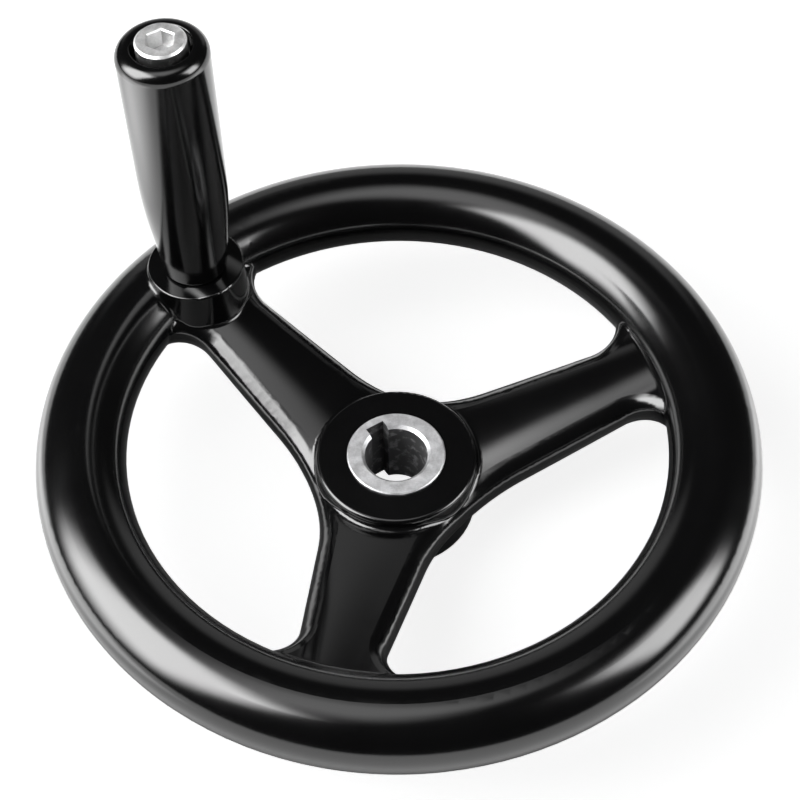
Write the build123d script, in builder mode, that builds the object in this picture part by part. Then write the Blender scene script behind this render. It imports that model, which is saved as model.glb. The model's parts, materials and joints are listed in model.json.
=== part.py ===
"""Dished three-spoke machine handwheel with a revolving handle.

Millimetres. Z is the axis of the wheel and the origin is the centre of the rear face of the hub bush,
where the wheel seats against the shoulder of its shaft. The handle stands up along +Z.
"""

import os
from math import hypot, radians, tan

from build123d import *

# Rim: a ring of oval section
wheel_dia = 180.0
rim_width = 22.5
rim_height = 19.7
rim_mid_height = 30.6

# Steel bush in the hub
bush_dia = 25.0
bush_length = 22.6
bush_edge_chamfer = 0.3
bush_proud = 0.8
bush_groove_width = 6.0
bush_groove_depth = 1.0
bore_dia = 16.0
bore_chamfer = 0.8
key_width = 5.0
key_depth = 2.3
key_angle = 121.0

# Hub of the moulding
hub_dia = 41.0
hub_edge_radius = 1.0
hub_junction_radius = 1.2

# Spokes: a dished plate between hub and rim, opened by three windows. Its thickness is measured
# square to its slope.
spoke_count = 3
first_spoke_angle = 136.0
spoke_thickness = 9.0
spoke_edge_radius = 4.2
spoke_hub_width = 29.1
spoke_rim_width = 19.2
spoke_step_below_hub = 3.1
spoke_top_above_rim_mid = 2.3
window_inner_radius = 45.0
window_outer_radius = 8.0
window_reach_into_rim = 1.3
rim_junction_radius = 1.5

# Boss that carries the handle, set in from the middle of the rim and rooted in the plate
handle_inset = 8.05
boss_dia = 25.2
boss_root_depth = 2.0
boss_draft = 2.0
boss_top_above_rim = 1.5
boss_edge_radius = 0.5
boss_junction_radius = 1.0

# Threaded insert in the boss
insert_dia = 12.0
insert_length = 13.0
insert_floor = 1.0
insert_groove_width = 3.0
insert_groove_depth = 0.8

# Spindle: a shoulder screw with a hexagon socket
thread_dia = 8.0
thread_length = 11.5
thread_tip_chamfer = 0.8
shank_dia = 9.5
head_dia = 12.2
head_height = 5.0
head_chamfer = 0.5
head_standing_proud = 1.7
socket_across_flats = 6.0
socket_depth = 4.6
socket_turn = 30.0
socket_chamfer = 0.3

# Revolving sleeve
sleeve_length = 74.7
sleeve_dia = 22.2
sleeve_base_dia = 16.7
sleeve_taper_length = 25.0
sleeve_taper_blend = 170.0
sleeve_top_radius = 3.0
sleeve_base_radius = 0.8
sleeve_radial_clearance = 0.08
sleeve_end_clearance = 0.3
recess_dia = 14.4
recess_edge_radius = 0.4

# Places that follow from the sizes
rim_radius = wheel_dia / 2 - rim_width / 2
rim_inner_radius = wheel_dia / 2 - rim_width
hub_radius = hub_dia / 2
hub_rear = bush_proud
hub_front = bush_length - bush_proud
plate_top_at_hub = hub_front - spoke_step_below_hub
plate_top_at_rim = rim_mid_height + spoke_top_above_rim_mid
plate_slope = (plate_top_at_rim - plate_top_at_hub) / (rim_inner_radius - hub_radius)
plate_height = spoke_thickness * hypot(1, plate_slope)
handle_offset = rim_radius - handle_inset
boss_top = rim_mid_height + rim_height / 2 + boss_top_above_rim
sleeve_base = boss_top + sleeve_end_clearance
sleeve_top = sleeve_base + sleeve_length
spindle_top = sleeve_top + head_standing_proud
head_seat = spindle_top - head_height
recess_floor = head_seat - sleeve_end_clearance

# The handle's own axis, and the plane through it that its profiles are drawn in
handle_foot = Vector(handle_offset, 0, 0).rotate(Axis.Z, first_spoke_angle)
handle_axis = Axis(handle_foot, (0, 0, 1))
handle_section = Plane(handle_foot, x_dir=(1, 0, 0), z_dir=(0, -1, 0))

os.makedirs("parts", exist_ok=True)


def plate_top(radius):
    """Height of the top of the dished plate at a distance from the wheel's axis."""
    return plate_top_at_hub + plate_slope * (radius - hub_radius)


boss_root = plate_top(handle_offset - boss_dia / 2) - boss_root_depth

# Outer shape of the bush, with the groove that the moulding grips
with BuildPart() as bush_blank:
    with BuildSketch(Plane.XZ):
        Rectangle(bush_dia / 2, bush_length, align=Align.MIN)
        with Locations((bush_dia / 2, bush_length / 2)):
            Rectangle(2 * bush_groove_depth, bush_groove_width, mode=Mode.SUBTRACT)
    revolve(axis=Axis.Z)

# Outer shape of the threaded insert, with its own groove
with BuildPart() as insert_blank:
    with BuildSketch(handle_section):
        with Locations((0, boss_top)):
            Rectangle(insert_dia / 2, insert_length, align=(Align.MIN, Align.MAX))
        with Locations((insert_dia / 2, boss_top - insert_length / 2)):
            Rectangle(2 * insert_groove_depth, insert_groove_width, mode=Mode.SUBTRACT)
    revolve(axis=handle_axis)

# One window, drawn with a spoke along X. Its two sides are the edges of neighbouring spokes, which
# narrow from the hub to the rim, and it mirrors about the line halfway between them.
side_slope = (spoke_hub_width - spoke_rim_width) / 2 / (rim_inner_radius - hub_radius)
half_width_at_axis = spoke_hub_width / 2 + side_slope * hub_radius
half_angle = 180 / spoke_count
apex_x = half_width_at_axis / (tan(radians(half_angle)) + side_slope)
apex = (apex_x, half_width_at_axis - side_slope * apex_x)
side_end = (wheel_dia, half_width_at_axis - side_slope * wheel_dia)
halfway = Vector(1, 0, 0).rotate(Axis.Z, half_angle)

with BuildSketch() as window:
    with BuildLine():
        side = Polyline(apex, side_end, 2 * wheel_dia * halfway)
        mirror(side, about=Plane((0, 0, 0), x_dir=halfway, z_dir=halfway.rotate(Axis.Z, 90)))
    make_face()
    Circle(rim_inner_radius + window_reach_into_rim, mode=Mode.INTERSECT)
    fillet(window.vertices().sort_by_distance((0, 0, 0))[0], window_inner_radius)
    fillet(window.vertices().sort_by_distance((0, 0, 0))[-2:], window_outer_radius)

# Moulded wheel body: hub, three spokes, rim and handle boss in one piece
with BuildPart() as wheel_body:
    # dished plate
    with BuildSketch(Plane.XZ):
        with BuildLine():
            plate_start = bush_dia / 2 - bush_groove_depth
            Polyline(
                (plate_start, plate_top(plate_start)),
                (rim_radius, plate_top(rim_radius)),
                (rim_radius, plate_top(rim_radius) - plate_height),
                (plate_start, plate_top(plate_start) - plate_height),
                close=True,
            )
        make_face()
    revolve(axis=Axis.Z)

    # windows, with their edges rounded above and below
    with BuildSketch():
        with PolarLocations(0, spoke_count, start_angle=first_spoke_angle):
            add(window.sketch)
    extrude(amount=plate_top(rim_radius), mode=Mode.SUBTRACT)
    window_edges = wheel_body.edges(Select.LAST).filter_by(Axis.Z, reverse=True)
    fillet(window_edges, spoke_edge_radius)

    # rim
    with BuildSketch(Plane.XZ):
        with BuildLine():
            for quarter in range(4):
                EllipticalCenterArc(
                    (rim_radius, rim_mid_height), rim_width / 2, rim_height / 2, 90 * quarter, arc_size=90
                )
        make_face()
    revolve(axis=Axis.Z)
    fillet(wheel_body.edges(Select.NEW), rim_junction_radius)

    # hub
    with BuildSketch(Plane.XY.offset(hub_rear)):
        Circle(hub_radius)
    extrude(amount=hub_front - hub_rear)
    fillet(wheel_body.edges(Select.NEW), hub_junction_radius)
    hub_rims = wheel_body.edges().filter_by(GeomType.CIRCLE)
    hub_rims = hub_rims.filter_by(lambda edge: abs(edge.radius - hub_radius) < 0.001)
    fillet(hub_rims, hub_edge_radius)

    # boss
    with BuildSketch(Plane.XY.offset(boss_top)):
        with Locations(handle_foot):
            Circle(boss_dia / 2)
    extrude(amount=boss_root - boss_top, taper=-boss_draft)
    fillet(wheel_body.edges(Select.NEW), boss_junction_radius)
    fillet(wheel_body.faces().sort_by(Axis.Z)[-1].edges(), boss_edge_radius)

    # pockets that the two inserts fill
    add(bush_blank.part, mode=Mode.SUBTRACT)
    add(insert_blank.part, mode=Mode.SUBTRACT)
wheel_body.part.label = "wheel_body"
export_step(wheel_body.part, "parts/wheel_body.step")

# Steel bush: chamfered bore with a keyway cut right through
with BuildPart() as hub_bush:
    add(bush_blank.part)
    end_faces = hub_bush.faces().sort_by(Axis.Z)
    chamfer(end_faces[0].edges() + end_faces[-1].edges(), bush_edge_chamfer)
    Hole(bore_dia / 2)
    chamfer(hub_bush.edges(Select.LAST).filter_by(GeomType.CIRCLE), bore_chamfer)
    with BuildSketch(Plane.XY.rotated((0, 0, key_angle))):
        Rectangle(bore_dia / 2 + key_depth, key_width, align=(Align.MIN, Align.CENTER))
    extrude(amount=bush_length, mode=Mode.SUBTRACT)
hub_bush.part.label = "hub_bush"
export_step(hub_bush.part, "parts/hub_bush.step")

# Threaded insert: blind, flush with the top of the boss
with BuildPart() as boss_insert:
    add(insert_blank.part)
    with BuildSketch(Plane.XY.offset(boss_top)):
        with Locations(handle_foot):
            Circle(thread_dia / 2)
    extrude(amount=insert_floor - insert_length, mode=Mode.SUBTRACT)
boss_insert.part.label = "boss_insert"
export_step(boss_insert.part, "parts/boss_insert.step")

# Spindle: thread in the insert, shank seated on the insert's face, head above the sleeve
with BuildPart() as handle_spindle:
    with BuildSketch(handle_section):
        with BuildLine():
            Polyline(
                (0, boss_top - thread_length),
                (thread_dia / 2 - thread_tip_chamfer, boss_top - thread_length),
                (thread_dia / 2, boss_top - thread_length + thread_tip_chamfer),
                (thread_dia / 2, boss_top),
                (shank_dia / 2, boss_top),
                (shank_dia / 2, head_seat),
                (head_dia / 2, head_seat),
                (head_dia / 2, spindle_top - head_chamfer),
                (head_dia / 2 - head_chamfer, spindle_top),
                (0, spindle_top),
                close=True,
            )
        make_face()
    revolve(axis=handle_axis)
    with BuildSketch(Plane.XY.offset(spindle_top)):
        with Locations(handle_foot):
            RegularPolygon(socket_across_flats / 2, 6, major_radius=False, rotation=socket_turn)
    extrude(amount=-socket_depth, mode=Mode.SUBTRACT)
    chamfer(handle_spindle.edges(Select.LAST).group_by(Axis.Z)[-1], socket_chamfer)
handle_spindle.part.label = "handle_spindle"
export_step(handle_spindle.part, "parts/handle_spindle.step")

# Sleeve: slim at the foot, straight along the grip, recessed at the top for the spindle's head
sleeve_bore = shank_dia / 2 + sleeve_radial_clearance
with BuildPart() as handle_sleeve:
    with BuildSketch(handle_section) as sleeve_section:
        with BuildLine():
            Polyline(
                (sleeve_bore, sleeve_base),
                (sleeve_base_dia / 2, sleeve_base),
                (sleeve_dia / 2, sleeve_base + sleeve_taper_length),
                (sleeve_dia / 2, sleeve_top),
                (recess_dia / 2, sleeve_top),
                (recess_dia / 2, recess_floor),
                (sleeve_bore, recess_floor),
                close=True,
            )
        make_face()
        fillet(sleeve_section.vertices().group_by(Axis.X)[-1].sort_by(Axis.Y)[0], sleeve_taper_blend)
        fillet(sleeve_section.vertices().group_by(Axis.Y)[-1].sort_by(Axis.X)[-1], sleeve_top_radius)
        fillet(sleeve_section.vertices().group_by(Axis.Y)[-1].sort_by(Axis.X)[0], recess_edge_radius)
        fillet(sleeve_section.vertices().group_by(Axis.Y)[0].sort_by(Axis.X)[-1], sleeve_base_radius)
    revolve(axis=handle_axis)
handle_sleeve.part.label = "handle_sleeve"
export_step(handle_sleeve.part, "parts/handle_sleeve.step")
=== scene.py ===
import json
from math import cos, pi, radians, sin

import bpy
from mathutils import Matrix, Vector

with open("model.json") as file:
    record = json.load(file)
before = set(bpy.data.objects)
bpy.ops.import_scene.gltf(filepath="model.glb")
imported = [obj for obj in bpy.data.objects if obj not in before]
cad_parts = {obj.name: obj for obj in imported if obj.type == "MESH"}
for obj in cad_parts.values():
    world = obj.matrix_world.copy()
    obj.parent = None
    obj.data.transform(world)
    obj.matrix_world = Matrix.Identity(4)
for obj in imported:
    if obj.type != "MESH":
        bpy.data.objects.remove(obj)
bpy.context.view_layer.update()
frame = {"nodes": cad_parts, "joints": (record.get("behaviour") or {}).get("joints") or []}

nodes = frame["nodes"]
black, white = (0, 0, 0, 1), (1, 1, 1, 1)

# Axes, as points on them at the floor's height: the wheel's own and the one the handle turns on
wheel_centre = Vector((0, 0, 0))
handle_foot = Vector(frame["joints"][0]["pos_m"][:2] + [0])

# Spokes, in degrees from +X, and in metres half their width at the hub and how fast it narrows
spoke_angles = (136, 256, 16)
hub_radius = 0.0205
spoke_half_width = 0.01455
spoke_taper = 0.1053

# Crown of the spokes: its slope, how far along a spoke it sets in, radii where it starts and
# ends, share of the spoke's half width where it dies out, and how far up the top faces
crown_slope = 0.5
crown_along = (0.004, 0.012)
crown_start = (0.0208, 0.0216)
crown_end = (0.0664, 0.0674)
crown_edge = (0.62, 0.95)
crown_facing = (0.55, 0.8)

# Steel walls that carry painted shade: how little up or down they face, and the radius outside the
# hexagon socket
steel_shaded_wall_facing = (0.1, 0.4)
steel_shaded_wall_radius = (0.0045, 0.0055)

# Depths of the black moulding's ripples and grain, and of the turning marks in steel and brass
ripple_depth, grain_depth = 0.000012, 0.0000006
steel_ring_depth, brass_ring_depth = 0.000004, 0.000005
brass_ring_width = 0.0003


class Socket:
    """An output of one material's nodes. Arithmetic on it adds Math nodes."""

    def __init__(self, tree, output=None):
        self.tree = tree
        self.output = output

    def node(self, kind, settings=None, out=0, **inputs):
        """Adds a node: first its settings, then the values or links of its sockets."""
        made = self.tree.nodes.new("ShaderNode" + kind)
        for name, value in (settings or {}).items():
            if name == "stops":
                ramp = made.color_ramp
                while len(ramp.elements) < len(value):
                    ramp.elements.new(0.5)
                for element, (place, level) in zip(ramp.elements, value):
                    element.position = place
                    element.color = (level, level, level, 1)
            else:
                setattr(made, name, value)
        for name, value in inputs.items():
            place = int(name[1:]) if name[1:].isdigit() else name.replace("_", " ")
            if isinstance(value, Socket):
                self.tree.links.new(value.output, made.inputs[place])
            else:
                made.inputs[place].default_value = value
        return Socket(self.tree, made.outputs[out])

    def math(self, operation, *values):
        operands = {f"_{i}": value for i, value in enumerate(values)}
        return self.node("Math", {"operation": operation}, **operands)

    def __add__(self, other):
        return self.math("ADD", self, other)

    def __sub__(self, other):
        return self.math("SUBTRACT", self, other)

    def __rsub__(self, other):
        return self.math("SUBTRACT", other, self)

    def __mul__(self, other):
        return self.math("MULTIPLY", self, other)

    def __truediv__(self, other):
        return self.math("DIVIDE", self, other)

    def __pow__(self, other):
        return self.math("POWER", self, other)

    __radd__ = __add__
    __rmul__ = __mul__

    def fade(self, low, high):
        """0 below low, 1 above high and a soft step between."""
        span = {"From_Min": low, "From_Max": high}
        return self.node("MapRange", {"interpolation_type": "SMOOTHSTEP"}, Value=self, **span)

    def axis(self, i):
        """The x, y or z of a vector."""
        return self.node("SeparateXYZ", out=i, Vector=self)

    def noise(self, scale, detail, **inputs):
        return self.node("TexNoise", Vector=self, Scale=scale, Detail=detail, **inputs)

    def rings(self, scale, detail):
        """Noise along one measure, such as a radius, so it lies in rings."""
        settings = {"noise_dimensions": "1D"}
        return self.node("TexNoise", settings, W=self, Scale=scale, Detail=detail)


def new_finish(name):
    """A material with a bare Principled shader, and a starting point for its nodes."""
    material = bpy.data.materials.new(name)
    material.use_nodes = True
    shader = material.node_tree.nodes["Principled BSDF"]
    return material, shader, Socket(material.node_tree)


def mix_colour(start, factor, low, high):
    return start.node("Mix", {"data_type": "RGBA"}, out=2, _0=factor, _6=low, _7=high)


def plug_in(start, shader, **values):
    for name, value in values.items():
        socket = shader.inputs[name.replace("_", " ")]
        if isinstance(value, Socket):
            start.tree.links.new(value.output, socket)
        else:
            socket.default_value = value


def bump(start, height, distance, **level):
    return start.node("Bump", Strength=1.0, Distance=distance, Height=height, **level)


def shade(tone, share):
    return tuple(share * v for v in tone) + (1,)


def polished_phenolic(name, ripple_scale, crown=None):
    """Black moulded phenolic with a polished skin: faint long ripples from shrinking, a fine
    cloudiness in the gloss and a little dust-fine mottling in the black."""
    material, shader, start = new_finish(name)
    place = start.node("TexCoord", out=3)
    cloud = place.noise(90.0, 3.0)
    fine = place.noise(1400.0, 2.0)
    ripple = place.noise(ripple_scale, 1.0)
    colour = mix_colour(start, fine, (0.002, 0.002, 0.0022, 1), (0.0035, 0.0035, 0.0038, 1))
    level = {"Normal": crown(start, place)} if crown else {}
    skin = bump(start, ripple, ripple_depth, **level)
    grain = bump(start, fine, grain_depth, Normal=skin)
    plug_in(start, shader, Base_Color=colour, Roughness=0.11 + cloud * 0.08, Normal=grain)
    plug_in(start, shader, IOR=1.6)
    return material


def spoke_crown(start, place):
    """The surface's direction with the gentle crown that the mould gives the top of each spoke,
    strongest a little in from the rounded edges, and none on hub and rim."""
    x, y = place.axis(0), place.axis(1)
    facing = start.node("NewGeometry", out=1)
    upward = facing.axis(2).fade(*crown_facing)
    radius = (x * x + y * y) ** 0.5
    between = radius.fade(*crown_start) * (1 - radius.fade(*crown_end))
    for spoke in spoke_angles:
        c, s = cos(radians(spoke)), sin(radians(spoke))
        along = x * c + y * s
        across = (y * c - x * s) / (spoke_half_width + spoke_taper * (hub_radius - along))
        inside = 1 - across.math("ABSOLUTE", across).fade(*crown_edge)
        outward = along.fade(*crown_along)
        tilt = across * inside * outward * upward * between * crown_slope
        sideways = start.node("VectorMath", {"operation": "SCALE"}, _0=(-s, c, 0), Scale=tilt)
        turned = start.node(
            "VectorTransform",
            {"vector_type": "VECTOR", "convert_from": "OBJECT", "convert_to": "WORLD"},
            Vector=sideways,
        )
        facing = start.node("VectorMath", {"operation": "ADD"}, _0=facing, _1=turned)
    return start.node("VectorMath", {"operation": "NORMALIZE"}, _0=facing)


def turned_steel(name, axis, tone, ring_width, wear, wall_shade_share):
    """Steel faced on a lathe: rings round its axis, in the gloss and in the surface, under a thin
    mottling from handling and oil. The walls of the bore and the side of the head are duller, and
    carry painted shade: their colour is as dark as a given share of the tone, with rubbed patches."""
    material, shader, start = new_finish(name)
    place = start.node("TexCoord", out=3)
    centred = start.node("Mapping", {"vector_type": "POINT"}, Vector=place, Location=-axis)
    x, y = centred.axis(0), centred.axis(1)
    radius = (x * x + y * y) ** 0.5
    fine_rings = (radius / ring_width).rings(1.0, 2.0)
    coarse_rings = (radius / ring_width).rings(0.22, 1.0)
    mottle = place.noise(420.0, 4.0, Roughness=0.6)
    speck = place.noise(2600.0, 2.0)
    patches = {"stops": [(0.35, 0.0), (0.62, 1.0)]}
    stain = start.node("ValToRGB", patches, Fac=mottle * 0.75 + speck * 0.25)
    upright = start.node("TexCoord", out=1).axis(2)
    # Painted shade: walls that face sideways, outside the socket, get a darker colour, and are a
    # little rougher too
    shaded_dull_wall = 1 - upright.math("ABSOLUTE", upright).fade(*steel_shaded_wall_facing)
    shaded_dull_wall = shaded_dull_wall * radius.fade(*steel_shaded_wall_radius)
    rubbed = mottle.fade(0.5, 0.68)
    # Colour of the painted shade on the walls, lighter in rubbed patches
    shaded_wall_colour = mix_colour(start, rubbed, shade(tone, wall_shade_share), shade(tone, 2.5 * wall_shade_share))
    face_colour = mix_colour(start, stain, shade(tone, 0.74), shade(tone, 1.08))
    colour = mix_colour(start, shaded_dull_wall, face_colour, shaded_wall_colour)
    relief = bump(start, fine_rings * 0.6 + coarse_rings * 0.4, steel_ring_depth)
    plug_in(start, shader, Base_Color=colour, Metallic=1.0, Normal=relief)
    plug_in(start, shader, Roughness=0.34 + wear * mottle + fine_rings * 0.12 + shaded_dull_wall * 0.1)
    return material


def turned_brass(name, axis):
    """Brass with turning marks, dulled where it isn't rubbed."""
    material, shader, start = new_finish(name)
    place = start.node("TexCoord", out=3)
    centred = start.node("Mapping", {"vector_type": "POINT"}, Vector=place, Location=-axis)
    turning = (centred.axis(2) / brass_ring_width).rings(1.0, 2.0)
    tarnish = place.noise(300.0, 3.0)
    colour = mix_colour(start, tarnish, (0.55, 0.38, 0.15, 1), (0.83, 0.66, 0.34, 1))
    relief = bump(start, turning, brass_ring_depth)
    plug_in(start, shader, Base_Color=colour, Metallic=1.0, Normal=relief)
    plug_in(start, shader, Roughness=0.22 + tarnish * 0.2)
    return material


# Finishes of the five CAD nodes that show as they are
finishes = {
    "wheel_body": polished_phenolic("polished_phenolic_wheel", 55.0, spoke_crown),
    "handle_sleeve": polished_phenolic("polished_phenolic_sleeve", 45.0),
    "hub_bush": turned_steel(
        "faced_steel_bush",
        axis=wheel_centre,
        tone=(0.6, 0.6, 0.61),
        ring_width=0.00012,
        wear=0.22,
        # share of the tone left on the walls under painted shade
        wall_shade_share=0.25,
    ),
    "handle_spindle": turned_steel(
        "turned_steel_spindle",
        axis=handle_foot,
        tone=(0.76, 0.76, 0.76),
        ring_width=0.0001,
        wear=0.16,
        # share of the tone left on the walls under painted shade
        wall_shade_share=0.12,
    ),
    "boss_insert": turned_brass("turned_brass_insert", handle_foot),
}
for node, finish in finishes.items():
    nodes[node].material_slots[0].material = finish


# Studio: compass 0 lies behind the wheel and 90 to its right, elevations rise from the floor
def towards(compass, elevation):
    a, e = radians(compass), radians(elevation)
    return Vector((sin(a) * cos(e), cos(a) * cos(e), sin(e)))


aim = Vector((0, 0, 0.045))


def softbox(name, place, facing, width, height, radiance, edges, matt_share=0.35):
    """A softbox that faces one way: its face as the gloss mirrors it, at the brightness that the
    photograph shows, and a dimmer twin for matt surfaces, which keeps them at a plain level. Its
    light fades towards its left, right, lower and upper edges over those shares of its face."""
    turn = facing.to_track_quat("-Z", "Y").to_matrix().to_4x4()
    for use, level in (("mirrored", radiance), ("matt", radiance * matt_share)):
        lamp = bpy.data.lights.new(f"{name}_{use}", "AREA")
        lamp.shape = "RECTANGLE"
        lamp.size = width
        lamp.size_y = height
        lamp.energy = level * pi * width * height
        lamp.use_nodes = True
        face = Socket(lamp.node_tree).node("NewGeometry", out=5)
        sideways, upwards = face.axis(0), face.axis(1)
        left, right, lower, upper = edges
        glow = sideways.fade(0, left) * (1 - sideways.fade(1 - right, 1))
        glow = glow * upwards.fade(0, lower) * (1 - upwards.fade(1 - upper, 1))
        strength = lamp.node_tree.nodes["Emission"].inputs["Strength"]
        lamp.node_tree.links.new(glow.output, strength)
        lit = bpy.data.objects.new(f"{name}_{use}", lamp)
        lit.matrix_world = Matrix.Translation(place) @ turn
        lit.visible_camera = False
        lit.visible_diffuse = use == "matt"
        lit.visible_glossy = use == "mirrored"
        bpy.context.scene.collection.objects.link(lit)


def standing_softbox(name, compass, elevation, distance, **face):
    """A softbox that stands or hangs in that direction from the wheel, and faces it."""
    out = towards(compass, elevation)
    softbox(name, aim + distance * out, -out, **face)


standing_softbox(
    "softbox_left",
    compass=-99,
    elevation=39,
    distance=1.2,
    width=1.25,
    height=1.8,
    radiance=12.0,
    edges=(0.28, 0.28, 0.42, 0.22),
)
standing_softbox(
    "softbox_right",
    compass=103,
    elevation=35,
    distance=1.2,
    width=0.8,
    height=1.2,
    radiance=9.0,
    edges=(0.3, 0.25, 0.3, 0.4),
)
standing_softbox(
    "panel_overhead",
    compass=-50,
    elevation=83,
    distance=1.1,
    width=1.0,
    height=0.9,
    radiance=1.9,
    edges=(0.4, 0.4, 0.4, 0.4),
)
standing_softbox(
    "grey_card_behind",
    compass=2,
    elevation=14,
    distance=1.5,
    width=2.2,
    height=1.2,
    radiance=0.45,
    edges=(0.2, 0.2, 0.1, 0.35),
)

# Floor beside the wheel, where the softboxes light it most. Only the gloss sees these panels
for side, radiance in ((-1, 2.6), (1, 2.2)):
    softbox(
        f"lit_floor_{side}",
        place=Vector((side * 0.365, -0.03, 0.001)),
        facing=Vector((0, 0, 1)),
        width=0.5,
        height=0.3,
        radiance=radiance,
        edges=(0.12, 0.12, 0.3, 0.3),
        matt_share=0.0,
    )

# Pale floor: it takes the wheel's shadow, and to the camera its unshaded part is white. To the
# gloss it glows bright only clear of the wheel, with a painted shadow under it, so that the black
# above it stays black
floor_half = 4
# Radii between which the floor's glow, as the gloss sees it, rises out of a painted shadow under
# the wheel
painted_shadow_radius, painted_shadow_edge_radius = 0.085, 0.115
floor_brightest = (1.4, 1.4, 1.4, 1)
camera_share = 0.6
floor_finish, floor_shader, start = new_finish("pale_floor")
place = start.node("TexCoord", out=3)
x, y = place.axis(0), place.axis(1)
# Painted shadow: to the gloss the floor glows only clear of the wheel, not under it
outside_painted_shadow = ((x * x + y * y) ** 0.5).fade(painted_shadow_radius, painted_shadow_edge_radius)
to_camera, to_gloss, to_glass = (start.node("LightPath", out=ray) for ray in (0, 3, 6))
mirrored = outside_painted_shadow * to_gloss
seen = mirrored.math("MAXIMUM", to_camera, to_glass)
glow = seen.math("MAXIMUM", seen * camera_share, mirrored)
speckle = place.noise(60.0, 3.0)
floor_colour = mix_colour(start, speckle, (0.80, 0.80, 0.80, 1), (0.84, 0.84, 0.84, 1))
floor_glow = mix_colour(start, glow, black, floor_brightest)
plug_in(start, floor_shader, Base_Color=floor_colour, Roughness=0.8, Specular_IOR_Level=0.0)
plug_in(start, floor_shader, Emission_Color=floor_glow, Emission_Strength=1.0)
floor_signs = ((-1, -1), (1, -1), (1, 1), (-1, 1))
floor_corners = [(floor_half * i, floor_half * j, 0) for i, j in floor_signs]
floor_mesh = bpy.data.meshes.new("floor")
floor_mesh.from_pydata(floor_corners, [], [(0, 1, 2, 3)])
floor_mesh.materials.append(floor_finish)
floor = bpy.data.objects.new("floor", floor_mesh)
bpy.context.scene.collection.objects.link(floor)

# Surroundings: dim for the wheel, white behind the floor for the camera
world = bpy.data.worlds.new("studio")
world.use_nodes = True
bpy.context.scene.world = world
surround = Socket(world.node_tree)
to_camera = surround.node("LightPath", out=0)
level = mix_colour(surround, to_camera, (0.03, 0.03, 0.03, 1), white)
world.node_tree.links.new(level.output, world.node_tree.nodes["Background"].inputs["Color"])

# Camera fitted to the photograph, which is 800 pixels wide
photo_width = 800
yaw, pitch, roll = radians(-2.521), radians(53.794), radians(-3.798)
focal_pixels = 1696.256
camera_place = Vector((-0.00367, -0.24421, 0.377479))
camera = bpy.data.cameras.new("camera")
camera.sensor_width = 36
camera.lens = focal_pixels * camera.sensor_width / photo_width
camera.shift_x = 0.0799
camera.shift_y = 0.0074
camera.clip_start = 0.01
forward = Vector((sin(yaw) * cos(pitch), cos(yaw) * cos(pitch), -sin(pitch)))
level_right = Vector((cos(yaw), -sin(yaw), 0))
level_up = level_right.cross(forward)
right = cos(roll) * level_right + sin(roll) * level_up
up = cos(roll) * level_up - sin(roll) * level_right
camera_turn = Matrix((right, up, -forward)).transposed().to_4x4()
camera_object = bpy.data.objects.new("camera", camera)
camera_object.matrix_world = Matrix.Translation(camera_place) @ camera_turn
bpy.context.scene.collection.objects.link(camera_object)
bpy.context.scene.camera = camera_object
bpy.context.scene.view_settings.view_transform = "Standard"
